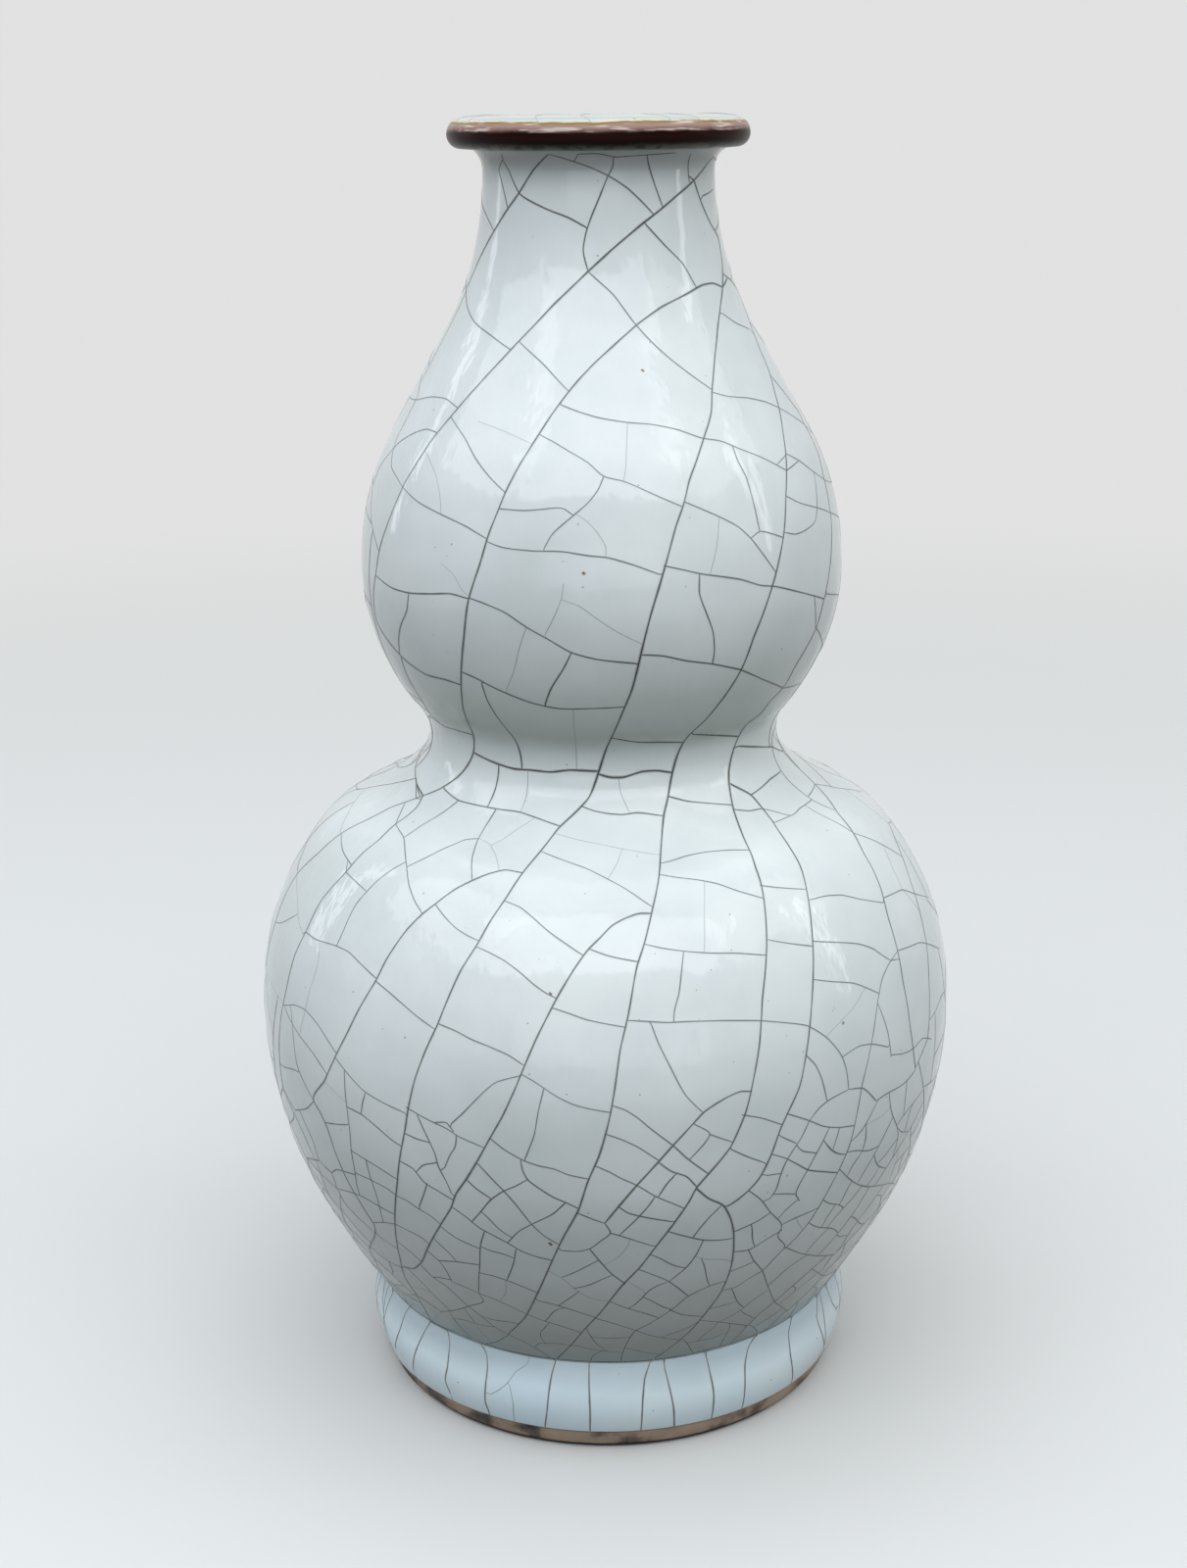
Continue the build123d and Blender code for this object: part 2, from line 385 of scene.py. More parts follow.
flare = np.exp(1j * math.radians(90 - flare_lean))
bowl_run = two_arcs(seat, flare, belly, up, heel_share, step=0.9)
lower_bowl = turned("lower_bowl_glazed", np.array([
    1j * base_recess, foot_bore + 1j * base_recess, *bowl_run[0],
    lute(belly), *inside(bowl_run, rows_over_foot), floor_edge + 1j * floor_top, 1j * floor_top,
]))
lower_bowl.data.materials.append(glaze)
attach(lower_bowl, "root")
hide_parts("lower_bowl")

# LOWER SHOULDER
# Thrown upside down as a wide dome and luted on at the widest line. It opens into a hollow and turns up into
# the waist in a tight cove, where the two bulbs were joined and the glaze pools.
waist = 35.6 + 139.6j
cove_radius, hollow_radius = 8.0, 30.6
cove_turn, hollow_turn = 40.0, 28.2
shoulder_share = 0.751

cove_heading = up * np.exp(1j * math.radians(cove_turn))
hollow_heading = cove_heading * np.exp(1j * math.radians(hollow_turn))
cove_end = waist + cove_radius * 1j * (cove_heading - up)
hollow_end = cove_end + hollow_radius * 1j * (hollow_heading - cove_heading)
shoulder_run = chain(
    two_arcs(belly, up, hollow_end, hollow_heading, shoulder_share, step=0.9),
    arc(hollow_end, hollow_heading, cove_end, step=0.6), arc(cove_end, cove_heading, waist, step=0.5),
)
lower_shoulder = turned("lower_shoulder_glazed", np.array([
    *shoulder_run[0], lute(waist), *inside(shoulder_run), lute(belly),
]))
lower_shoulder.data.materials.append(glaze)
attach(lower_shoulder, "root")
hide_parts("lower_shoulder")

# UPPER BOWL
# The lower half of the small bulb, thrown as an open bowl. It is luted on at the waist, and the joint is
# blended outside with a rib.
upper_belly = 48.25 + 174.0j
underside_share = 0.186

underside_run = two_arcs(waist, up, upper_belly, up, underside_share, step=0.9)
upper_bowl = turned("upper_bowl_glazed", np.array([
    *underside_run[0], lute(upper_belly), *inside(underside_run), lute(waist),
]))
upper_bowl.data.materials.append(glaze)
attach(upper_bowl, "root")
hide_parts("upper_bowl")

# UPPER SHOULDER
# Collared in by hand on the wheel, from the small bulb's widest line up a straight slope to the neck. The
# tangents are those of the arcs at both ends of the slope.
neck = 22.5 + 250.0j
bulb_tangent, neck_tangent = 14.516, 16.036

slope = neck - upper_belly - 1j * (bulb_tangent + neck_tangent)
slope /= abs(slope)
slope_start = upper_belly + (1j + slope) * bulb_tangent
slope_end = neck - (1j + slope) * neck_tangent
neck_run = chain(
    arc(upper_belly, up, slope_start, step=0.9), line(slope_start, slope_end, step=0.9),
    arc(slope_end, slope, neck, step=0.9),
)
upper_shoulder = turned("upper_shoulder_glazed", np.array([
    *neck_run[0], lute(neck), *inside(neck_run), lute(upper_belly),
]))
upper_shoulder.data.materials.append(glaze)
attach(upper_shoulder, "root")
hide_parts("upper_shoulder")

# MOUTH RIM
# The end of the neck, folded over into a rolled lip that overhangs it. Brown iron wash was brushed round
# the lip over the glaze, and left its top white.
lip_root = 24.3 + 253.6j
lip_edge_start, lip_side = 26.6 + 253.8j, 29.2 + 256.4j
out = 1.0 + 0j
crown = 20.5 + 260.0j
mouth_edge = 18.8 + 258.3j
lip_share = 0.4887

collar_run = arc(neck, up, lip_root, step=0.8)
rim_run = chain(
    collar_run, line(lip_root, lip_edge_start, step=0.7), arc(lip_edge_start, out, lip_side, step=0.25),
    two_arcs(lip_side, up, crown, -out, lip_share, step=0.4), arc(crown, -out, mouth_edge, step=0.35),
)
mouth_rim = turned("mouth_rim_dressed", np.array([*rim_run[0], lute(neck)]))

# Iron wash over the glaze: near black to maroon where it lies thick below the lip's edge, thinning up to a
# gold line above, and run in dark streaks on to the olive glaze underneath. Between the maroon and the gold
# lies a streaky pink-brown band, which is a painted reflection of the sky on the dark wash. The wash has eaten
# the gloss. Above it and below it the glaze is bare. Two noises added to the height make the bands' edges
# ragged, and the stops allow for what they add as a rule.
wash_from, wash_to, wash_radius = 253.4, 259.0, 23
bands_to = wash_to + 1
rag_height, rag_mean = 0.7, 0.82
rag_size, wander_size = 3, 24
# The pink-brown stops from 256.85 to 257.8 mm are a painted reflection of the sky on the dark wash.
bands = (
    (253.4, "#757a6e"), (254.2, "#565448"), (254.6, "#2a1c17"), (254.9, "#0e0201"), (255.8, "#250a05"),
    (256.6, "#120302"), (256.85, "#4d2f28"), (257.2, "#86675e"), (257.8, "#a18880"), (258.25, "#9d7f5e"),
    (258.4, "#7f5a24"), (258.6, "#c3b48c"), (258.75, "#c3c9c5"),
)

lip_wash_and_reflection, tree, shader = finish("iron_wash_and_painted_reflection", Roughness=0.3, IOR=1.5, Specular_IOR_Level=0.06)
place = node(tree, "ShaderNodeTexCoord", output="Object")
height = node(tree, "ShaderNodeSeparateXYZ", links={0: place}, output="Z")
ragged = height
for size, detail in ((rag_size, 6.0), (wander_size, 1.0)):
    rags = node(tree, "ShaderNodeTexNoise", {"Scale": 1 / (size * MM), "Detail": detail}, {"Vector": place})
    lift = {"operation": "MULTIPLY_ADD", 1: rag_height * MM}
    ragged = node(tree, "ShaderNodeMath", lift, {0: rags, 2: ragged})
run_of_bands = {"From Min": wash_from * MM, "From Max": bands_to * MM}
level = node(tree, "ShaderNodeMapRange", run_of_bands, {"Value": ragged})
stops = [((at + rag_mean - wash_from) / (bands_to - wash_from), shade) for at, shade in bands]
wash_and_reflection_bands = node(tree, "ShaderNodeValToRGB", {}, {"Fac": level}, stops)


def streaks(tree, place, below, code, stretch, width, detail, cut, by, heights):
    """Streaks on the lip, dark runs of wash and painted glints alike: a noise drawn out along them, cut
    between two of its values, faded in between two heights, as by measures them, and laid over the colour
    below.
    """
    drawn = node(tree, "ShaderNodeVectorMath", {"operation": "MULTIPLY", 1: stretch}, {0: place})
    noise = node(tree, "ShaderNodeTexNoise", {"Scale": 1 / (width * MM), "Detail": detail}, {"Vector": drawn})
    sharpened = {"From Min": cut[0], "From Max": cut[1], "To Max": 0.8}
    streak = node(tree, "ShaderNodeMapRange", sharpened, {"Value": noise})
    ends = {"From Min": heights[0] * MM, "From Max": heights[1] * MM}
    faded = node(tree, "ShaderNodeMapRange", ends, {"Value": by})
    amount = node(tree, "ShaderNodeMath", {"operation": "MULTIPLY"}, {0: streak, 1: faded})
    shade = {"data_type": "RGBA", 7: colour(code)}
    return node(tree, "ShaderNodeMix", shade, {0: amount, 6: below}, output=2)


# Dark runs of iron, 1 to 3 mm apart, drawn down over the underside.
streaked = streaks(
    tree, place, wash_and_reflection_bands, "#2b2622", stretch=(1, 1, 0.12), width=2.4, detail=3.0, cut=(0.5, 0.6),
    by=height, heights=(254.9, 254.6),
)
# Pale streaks round the pink-brown band, 0.3 mm broad and about 6 mm long, are painted glints of the sky on
# the lip.
painted_glints = streaks(
    tree, place, streaked, "#dccdc2", stretch=(0.08, 0.08, 1), width=0.5, detail=2.0, cut=(0.53, 0.66),
    by=ragged, heights=(257.6, 257.9),
)
tree.links.new(painted_glints, shader.inputs["Base Color"])
mouth_rim.data.materials.append(glaze)
mouth_rim.data.materials.append(lip_wash_and_reflection)
centres = np.empty(3 * len(mouth_rim.data.polygons), dtype=np.float32)
mouth_rim.data.polygons.foreach_get("center", centres)
x, y, z = centres.reshape(-1, 3).T / MM
washed = (np.hypot(x, y) > wash_radius) & (z > wash_from) & (z < wash_to)
mouth_rim.data.polygons.foreach_set("material_index", washed.astype(np.int32))
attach(mouth_rim, "root")
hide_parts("mouth_rim")

# CRACKLE
# The glaze shrinks more than the body, and cracks through to it: first in long steep lines, then in branches
# that split what is left between them, last in hairlines. The potter rubs in ink, and the oldest cracks take
# most of it.

# The cracks that the photograph shows, traced as pixels "across,down" from crack end to crack end.
long_cracks = """
560,154 545,173 530,197 518,214 499,245 486,270 474,297 /
728,160 708,184 690,200 670,217 657,227 625,254 600,277 565,311 530,348 500,380 478,404 460,425 445,443
430,465 411,497 398,527 388,555 383,585 381,615 384,634 394,652 408,669 433,688 455,694 470,699 /
737,293 727,289 716,291 700,300 675,313 650,331 632,347 605,372 590,388 580,400 563,423 550,443 530,475
516,502 509,519 500,541 489,577 478,612 473,650 470,700 472,722 482,750 482,768 468,791 450,804 423,815
398,824 373,837 347,851 327,868 302,893 290,915 283,935 /
708,184 717,210 725,228 733,243 736,262 737,293 735,310 732,335 729,365 726,397 725,420 718,445 710,470
703,490 697,515 690,535 677,582 663,630 655,662 644,705 637,722 625,750 611,787 600,815 592,824 570,845
552,868 533,891 515,918 500,940 487,963 470,990 455,1023 446,1045 433,1073 423,1100 416,1130 412,1155
407,1180 404,1210 402,1240 403,1265 407,1285 413,1305 425,1322 448,1338 /
738,280 747,287 757,303 762,318 768,336 775,355 783,375 790,400 795,420 799,445 802,480 801,505 799,540
796,560 787,598 778,625 768,650 755,683 745,700 733,717 718,735 703,749 695,760 686,785 681,812 677,830
674,865 672,895 665,930 657,963 650,985 641,1035 633,1070 627,1112 622,1140 611,1180 600,1205 590,1235
575,1262 564,1285 552,1312 535,1345 518,1362 /
815,420 825,440 835,462 840,485 845,510 848,535 847,575 843,600 840,612 832,640 822,660 810,680 798,702
785,715 775,728 762,738 753,750 746,768 742,790 744,810 747,825 752,840 758,855 765,870 770,885 775,900
780,935 781,965 777,1020 774,1065 767,1105 760,1135 752,1155 745,1170 735,1183 722,1198 710,1212 703,1225
688,1247 672,1268 651,1295 637,1309 610,1342 595,1358 585,1370 567,1388 /
743,799 765,811 785,835 795,850 805,865 815,883 820,900 826,940 828,965 827,1025 822,1070 814,1110 803,1135
797,1148 786,1178 773,1203 763,1214 750,1225 742,1230 /
710,1212 722,1222 737,1229 745,1243 748,1256 748,1275 746,1290 735,1318 717,1343 705,1357 690,1370 663,1390 /
800,767 820,788 832,800 845,815 855,830 870,850 880,870 890,888 897,905 905,935 915,970 920,1000 928,1050
933,1090 /
908,842 913,855 927,893 937,925 945,965 947,1000 946,1060 /
533,891 515,888 498,892 481,899 465,907 443,923 430,933 415,948 393,980 383,1000 365,1030 355,1050 341,1078
330,1103 319,1124 325,1135 331,1148 342,1180 355,1208 371,1235 380,1250 376,1275 /
431,812 425,823 403,841 385,858 370,870 352,890 340,903 328,917 311,951 300,975 291,1010 288,1023 284,1060
288,1110 /
665,932 652,932 640,936 625,944 612,957 600,969 585,990 570,1015 557,1040 548,1058 532,1095 525,1112
512,1140 500,1161 486,1186 475,1204 464,1220 460,1232 449,1250 435,1275 430,1287 420,1295 410,1293 /
766,1113 755,1113 743,1118 717,1135 707,1146 687,1168 672,1185 650,1209 631,1231 617,1248 /
842,1282 825,1297 790,1328 775,1340 760,1355 /
482,768 500,777 525,785 540,786 562,788 580,786 611,787 /
611,790 622,793 635,793 655,787 670,786 685,788 /
625,753 650,757 675,757 697,757 /
707,749 730,750 752,751
"""
branch_cracks = """
600,277 625,300 650,333 672,356 700,379 725,397 /
530,348 555,372 580,399 /
657,227 678,250 697,270 710,293 /
626,160 625,170 620,180 612,200 603,222 598,237 595,255 600,277 /
560,154 580,163 600,170 620,179 640,192 657,208 667,219 /
512,155 513,163 520,175 531,198 545,207 562,215 580,222 598,232 /
513,163 509,173 512,185 519,214 /
590,155 612,156 626,160 645,159 660,158 690,154 /
660,158 665,180 675,208 /
705,157 702,170 703,184 /
728,193 717,200 /
475,290 476,312 484,328 500,341 522,357 /
737,320 750,329 765,336 /
726,400 740,404 762,406 780,410 794,416 808,424 820,432 827,439 /
802,463 815,470 828,480 842,490 850,492 /
801,506 815,513 833,518 847,523 857,529 /
799,543 810,545 822,540 831,531 833,518 /
572,413 590,420 610,426 640,431 665,433 690,438 716,447 735,450 752,457 775,466 802,480 /
550,443 565,451 580,460 600,472 616,486 636,491 655,499 675,508 696,517 /
698,512 715,519 733,527 752,537 765,549 775,562 790,583 /
765,549 774,542 785,544 797,548 /
747,456 752,470 760,485 766,505 774,542 /
616,486 610,500 600,513 585,526 562,547 555,560 /
509,519 535,521 550,520 575,519 585,526 /
495,552 510,558 540,562 575,563 600,567 620,569 645,576 673,586 /
411,497 425,511 450,525 475,537 495,549 /
460,425 475,448 487,470 500,487 515,502 /
412,404 425,408 440,405 455,407 467,416 /
445,441 435,438 420,443 405,453 397,462 388,475 380,495 /
400,462 399,475 405,487 411,497 /
405,445 415,425 425,405 430,382 /
378,530 382,550 386,563 /
384,588 400,600 417,605 440,606 460,606 478,611 /
417,605 415,622 408,640 406,655 407,667 /
478,610 492,615 515,625 537,640 560,653 583,666 605,672 650,677 /
677,577 700,582 713,585 735,588 755,591 775,597 788,598 815,604 840,611 /
843,606 857,607 /
713,585 713,605 720,625 727,645 728,665 726,677 /
655,668 675,669 700,674 725,677 755,683 /
757,684 775,692 798,702 /
831,640 837,650 838,665 /
583,666 575,682 562,703 556,719 /
471,686 485,692 500,700 520,709 545,718 570,723 600,723 637,721 /
491,697 497,715 508,733 523,752 530,768 532,786 /
752,761 775,762 788,762 /
437,727 447,737 465,745 482,750 /
408,669 415,690 428,712 440,730 /
508,781 507,795 503,810 497,823 /
452,805 467,817 482,821 508,826 530,829 548,835 571,843 /
467,817 450,830 430,842 411,855 /
505,827 495,843 487,857 482,872 481,899 /
403,841 411,855 414,885 416,903 422,920 430,933 /
414,885 435,875 455,865 475,857 488,856 /
413,880 400,887 385,898 373,910 362,923 347,955 342,966 /
348,851 349,868 357,882 /
352,890 362,900 373,910 /
311,951 320,958 343,966 355,972 365,982 382,998 /
443,923 452,935 465,948 478,956 487,960 /
515,920 530,926 545,938 560,951 580,965 595,975 /
365,806 385,802 403,799 424,794 /
424,780 424,800 424,815 /
380,790 400,780 425,775 433,766 /
594,823 605,827 620,830 635,831 650,829 675,832 /
552,869 575,878 600,887 620,897 635,905 665,925 /
681,812 700,817 720,819 746,821 /
673,881 685,878 700,873 720,869 745,867 763,867 /
672,892 690,895 708,897 730,901 750,908 777,916 /
657,963 675,967 697,970 725,972 750,972 780,974 /
603,969 620,975 650,981 /
788,750 790,773 797,787 808,800 820,810 830,817 850,826 /
795,788 785,795 775,804 765,811 /
750,826 765,827 775,825 790,828 806,832 815,825 828,816 /
789,839 806,832 /
832,800 845,802 862,805 880,808 /
870,850 885,855 900,862 920,874 /
774,903 790,905 820,907 /
824,918 840,914 857,913 875,917 900,921 /
901,916 910,912 920,908 933,912 948,916 /
781,958 797,961 828,965 /
829,960 850,961 875,963 890,968 900,975 908,980 /
915,970 927,966 937,962 958,968 /
383,1002 395,1012 410,1025 425,1038 440,1049 /
446,1045 465,1053 480,1061 500,1069 520,1078 535,1088 /
487,967 500,973 515,981 530,992 545,1005 558,1014 568,1019 /
565,1029 580,1034 597,1040 615,1044 638,1048 /
640,1041 660,1042 680,1043 700,1042 735,1041 775,1041 800,1043 822,1046 842,1058 858,1078 862,1090 865,1111 /
697,971 695,990 692,1015 688,1030 687,1042 /
664,1044 672,1065 682,1085 700,1118 717,1135 /
533,1097 545,1104 570,1120 585,1127 600,1131 623,1135 /
531,1098 518,1101 505,1105 495,1113 470,1138 460,1147 /
555,1110 549,1135 545,1158 535,1184 /
829,999 845,1001 870,1003 895,1013 /
915,970 905,985 899,998 894,1023 887,1068 879,1105 873,1138 865,1170 853,1197 840,1222 826,1245 812,1262
800,1274 /
894,1023 905,1055 908,1078 /
858,1078 875,1067 888,1065 905,1068 /
908,1076 920,1075 931,1070 940,1060 950,1060 /
822,1077 830,1085 836,1097 843,1123 /
865,1111 845,1122 835,1130 825,1143 /
865,1111 879,1110 893,1123 /
288,1026 300,1026 310,1031 322,1045 341,1074 /
341,1080 350,1092 372,1115 385,1123 412,1136 /
290,1030 297,1045 305,1058 318,1075 328,1090 /
297,1045 303,1090 319,1124 /
350,1092 352,1125 355,1150 357,1175 361,1197 363,1210 /
372,1115 369,1125 367,1138 /
353,1130 368,1138 385,1152 400,1165 408,1170 /
356,1174 372,1184 385,1192 404,1204 /
361,1197 378,1205 395,1214 403,1220 415,1226 425,1233 440,1242 449,1250 /
331,1146 345,1148 355,1148 /
337,1197 342,1194 361,1199 /
300,1133 312,1131 319,1124 /
305,1135 318,1165 325,1185 337,1197 343,1213 352,1230 372,1250 /
343,1213 357,1217 370,1222 380,1228 402,1240 /
378,1205 383,1220 390,1247 /
372,1184 376,1200 378,1206 /
380,1248 392,1248 403,1250 415,1256 430,1264 437,1270 /
408,1186 420,1193 433,1208 445,1215 460,1224 /
425,1195 430,1190 445,1187 /
425,1138 430,1150 437,1165 443,1178 446,1190 455,1207 460,1218 /
412,1157 425,1163 436,1166 /
413,1130 425,1137 440,1145 455,1152 467,1160 480,1166 492,1171 /
443,1146 455,1146 462,1155 /
465,1160 464,1170 458,1180 453,1192 /
427,1232 432,1218 435,1208 /
487,1188 503,1205 515,1217 525,1228 543,1250 555,1261 570,1270 /
475,1204 485,1213 500,1223 /
481,1247 490,1237 500,1225 513,1216 525,1211 538,1204 /
461,1232 475,1242 490,1254 505,1262 520,1270 530,1276 545,1282 562,1286 /
449,1252 462,1262 490,1275 /
494,1257 490,1270 489,1290 488,1320 /
435,1277 448,1288 455,1298 460,1308 /
448,1287 465,1288 487,1291 /
427,1290 440,1303 455,1313 465,1322 477,1333 490,1343 505,1355 518,1362 /
405,1268 420,1280 428,1287 /
376,1272 385,1280 400,1290 410,1294 /
500,1162 512,1172 535,1185 550,1190 565,1193 580,1199 600,1203 /
531,1184 533,1195 538,1204 550,1213 565,1222 577,1227 590,1233 /
618,1157 635,1163 650,1170 672,1184 /
625,1128 637,1132 650,1140 662,1150 675,1160 687,1169 700,1181 712,1190 722,1197 /
608,1190 622,1196 635,1203 647,1208 670,1221 685,1227 697,1232 /
617,1248 623,1258 613,1266 602,1274 590,1277 572,1276 /
617,1248 605,1244 590,1238 /
623,1258 640,1263 665,1271 /
602,1275 612,1287 622,1298 638,1310 /
631,1231 640,1237 650,1240 665,1243 685,1246 /
668,1221 660,1232 650,1243 633,1259 /
672,1186 685,1195 700,1200 710,1210 /
690,1197 680,1208 672,1220 /
577,1227 565,1238 541,1250 530,1256 518,1268 /
526,1276 524,1288 517,1307 /
763,1214 775,1223 785,1236 797,1252 793,1260 800,1272 790,1283 777,1296 765,1303 750,1313 737,1316 /
785,1237 773,1245 750,1256 /
797,1255 785,1262 763,1275 748,1277 /
763,1275 768,1285 777,1296 782,1310 790,1328 803,1338 /
735,1230 722,1243 712,1255 707,1262 /
681,1256 695,1260 718,1265 735,1265 748,1263 /
717,1266 710,1280 700,1293 684,1306 /
651,1295 665,1300 680,1306 692,1314 702,1322 /
738,1307 725,1311 712,1317 702,1322 690,1332 675,1343 660,1352 648,1358 642,1366 634,1385 634,1391 /
607,1345 625,1350 650,1358 665,1363 692,1367 /
683,1336 695,1341 715,1343 /
715,1347 735,1349 760,1352 /
800,1272 815,1278 832,1281 850,1280 /
756,1137 775,1140 797,1147 /
803,1136 825,1143 840,1149 855,1150 870,1148 /
786,1177 800,1181 812,1187 823,1193 840,1195 853,1196 /
747,1173 760,1179 777,1185 /
724,1157 735,1161 747,1165 /
707,1146 724,1157 718,1167 708,1178 /
825,1143 817,1160 807,1175 800,1187 795,1200 790,1215 785,1222 /
838,1165 830,1180 823,1193 815,1207 811,1217 815,1225 /
488,1320 493,1327 478,1333 465,1337 448,1339 /
460,1308 475,1314 488,1320 505,1326 520,1333 537,1341 555,1348 575,1354 593,1360 /
488,1299 505,1303 520,1308 550,1320 /
548,1327 565,1331 585,1337 607,1344 /
550,1371 565,1371 585,1373 610,1378 634,1380 /
518,1362 535,1370 550,1378 565,1388 /
518,1363 505,1370 492,1372 /
400,1320 392,1345 /
410,1322 413,1340 408,1355 403,1375 /
436,1345 432,1360 422,1385 421,1397 /
440,1350 455,1358 458,1370 456,1395 454,1410 458,1420 /
490,1372 496,1382 497,1395 495,1415 495,1432 498,1440 /
567,1388 563,1402 560,1420 558,1440 556,1455 /
601,1391 601,1415 602,1440 602,1460 /
663,1390 658,1405 656,1425 655,1445 654,1460 /
678,1396 682,1412 687,1435 688,1455 /
720,1383 724,1400 728,1420 727,1442 /
775,1360 763,1375 760,1390 760,1415 758,1433 /
807,1345 804,1360 806,1380 808,1408 /
833,1325 833,1345 838,1360 840,1372 /
843,1315 848,1328 853,1337
"""
hairline_cracks = """
488,430 510,438 530,447 543,453 /
450,525 449,505 445,485 437,465 /
450,575 463,587 472,603 478,608 /
640,431 639,460 638,480 636,490 /
590,526 600,533 612,547 618,558 618,569 /
575,595 573,610 566,628 556,648 /
573,612 590,618 610,632 630,645 655,657 /
537,640 530,660 524,685 516,705 /
585,724 586,745 588,785 /
733,527 732,545 730,560 724,585 /
538,786 538,800 536,815 531,828 /
370,808 355,830 347,848 /
303,890 303,920 304,940 308,953 /
631,795 633,808 637,818 642,829 /
565,850 590,857 615,862 640,867 673,872 /
635,865 630,880 622,894 /
718,900 718,930 718,970 /
545,835 525,848 512,857 501,863 505,872 509,888 /
488,856 495,859 501,863 /
865,807 880,818 895,830 908,842 /
905,873 912,890 920,907 /
880,1010 870,1027 858,1040 842,1056 /
325,964 324,980 320,995 315,1010 310,1031 /
288,1023 280,1012 275,1000 271,975 /
330,1103 340,1114 350,1124 /
540,1385 538,1391 526,1400 517,1412 508,1419 500,1423 /
520,1415 523,1430 524,1447
"""
skin = chain(foot_face, bowl_run, shoulder_run, underside_run, neck_run, rim_run)
front = -np.pi / 2
traced_side, traced_above = math.radians(64), 84.0
near_depth, far_depth, depth_step = camera_distance - 90, camera_distance + 110, 0.25
path_step, curve_slack = 1.0, 0.7
side_margin, ahead_share, touching = math.radians(12), 0.7, 0.05
drip_at, drip_reach = 0.1, 4.5


def summed(spans):
    """The length from the start of a row of spans to each of their ends."""
    return np.concatenate([[0], np.cumsum(spans)])


skin_length = summed(np.abs(np.diff(skin[0])))
seat_length = skin_length[foot_face.shape[1] - 1]
root_at = len(skin_length) - rim_run.shape[1] + collar_run.shape[1] - 1


def on_skin(length):
    """The outline's point and its outward normal at a length along it, in between its rows too."""
    point, heading = (
        np.interp(length, skin_length, value.real) + 1j * np.interp(length, skin_length, value.imag)
        for value in skin
    )
    return point, -1j * heading / np.abs(heading)


def on_body(angle, length):
    """Places in space on the unmoved skin."""
    return in_space(on_skin(length)[0], angle)


def turn_from(start, angle):
    """The short way round the axis from one angle to another."""
    return np.angle(np.exp(1j * (angle - start)))


def cast(pixels):
    """Angle round the axis and length along the outline where the rays through pixels meet the skin.

    A ray runs on until it is nearer to the axis than the outline is at its height. One that passes the vase
    takes its nearest approach.
    """
    across, down = pixels[:, 0] - axis_pixel, pixels[:, 1] - photo_height / 2
    right = (across * math.cos(camera_roll) + down * math.sin(camera_roll)) / focal_pixels
    lower = (down * math.cos(camera_roll) - across * math.sin(camera_roll)) / focal_pixels
    depth = np.arange(near_depth, far_depth, depth_step)[None, :]
    x = right[:, None] * depth
    y = depth * (math.cos(camera_pitch) - lower * math.sin(camera_pitch))[:, None] - camera_distance
    z = camera_height - depth * (math.sin(camera_pitch) + lower * math.cos(camera_pitch))[:, None]
    height, radius = skin[0, :root_at].imag, skin[0, :root_at].real
    gap = np.hypot(x, y) - np.interp(z, height, radius)
    first = np.where((gap < 0).any(axis=1), (gap < 0).argmax(axis=1), gap.argmin(axis=1))
    row = np.arange(len(pixels))
    before = np.maximum(first - 1, 0)
    back = np.clip(gap[row, first] / (gap[row, first] - gap[row, before] - 1e-9), 0, 1)
    x, y, z = (value[row, first] + (value[row, before] - value[row, first]) * back for value in (x, y, z))
    return np.arctan2(y, x), np.interp(z, height, skin_length[:root_at])


def smooth(angle, length):
    """A curve through traced points, in even steps: cubic spans whose slopes follow the neighbours."""
    radius = on_skin(length)[0].real
    angle = np.unwrap(angle)
    spans = np.hypot(np.diff(angle) * (radius[1:] + radius[:-1]) / 2, np.diff(length)) + 1e-6
    at = summed(spans)
    new = np.linspace(0, at[-1], max(2, math.ceil(at[-1] / path_step) + 1))
    span = np.clip(np.searchsorted(at, new, side="right") - 1, 0, len(spans) - 1)
    t, width = (new - at[span]) / spans[span], spans[span]
    result = []
    for value in (angle, length):
        slope = curve_slack * np.gradient(value, at)
        result.append(
            (1 + 2 * t) * (1 - t) ** 2 * value[span] + t * (1 - t) ** 2 * width * slope[span]
            + t**2 * (3 - 2 * t) * value[span + 1] + t**2 * (t - 1) * width * slope[span + 1]
        )
    return np.array(result)


def traced(lines):
    """The paths of one block of traced cracks, each an array of angles and lengths."""
    pixels = [np.array([pair.split(",") for pair in row.split()], dtype=float) for row in lines.split("/")]
    angle, length = cast(np.concatenate(pixels))
    cuts = np.cumsum([len(row) for row in pixels])[:-1]
    return [smooth(*path) for path in zip(np.split(angle, cuts), np.split(length, cuts))]


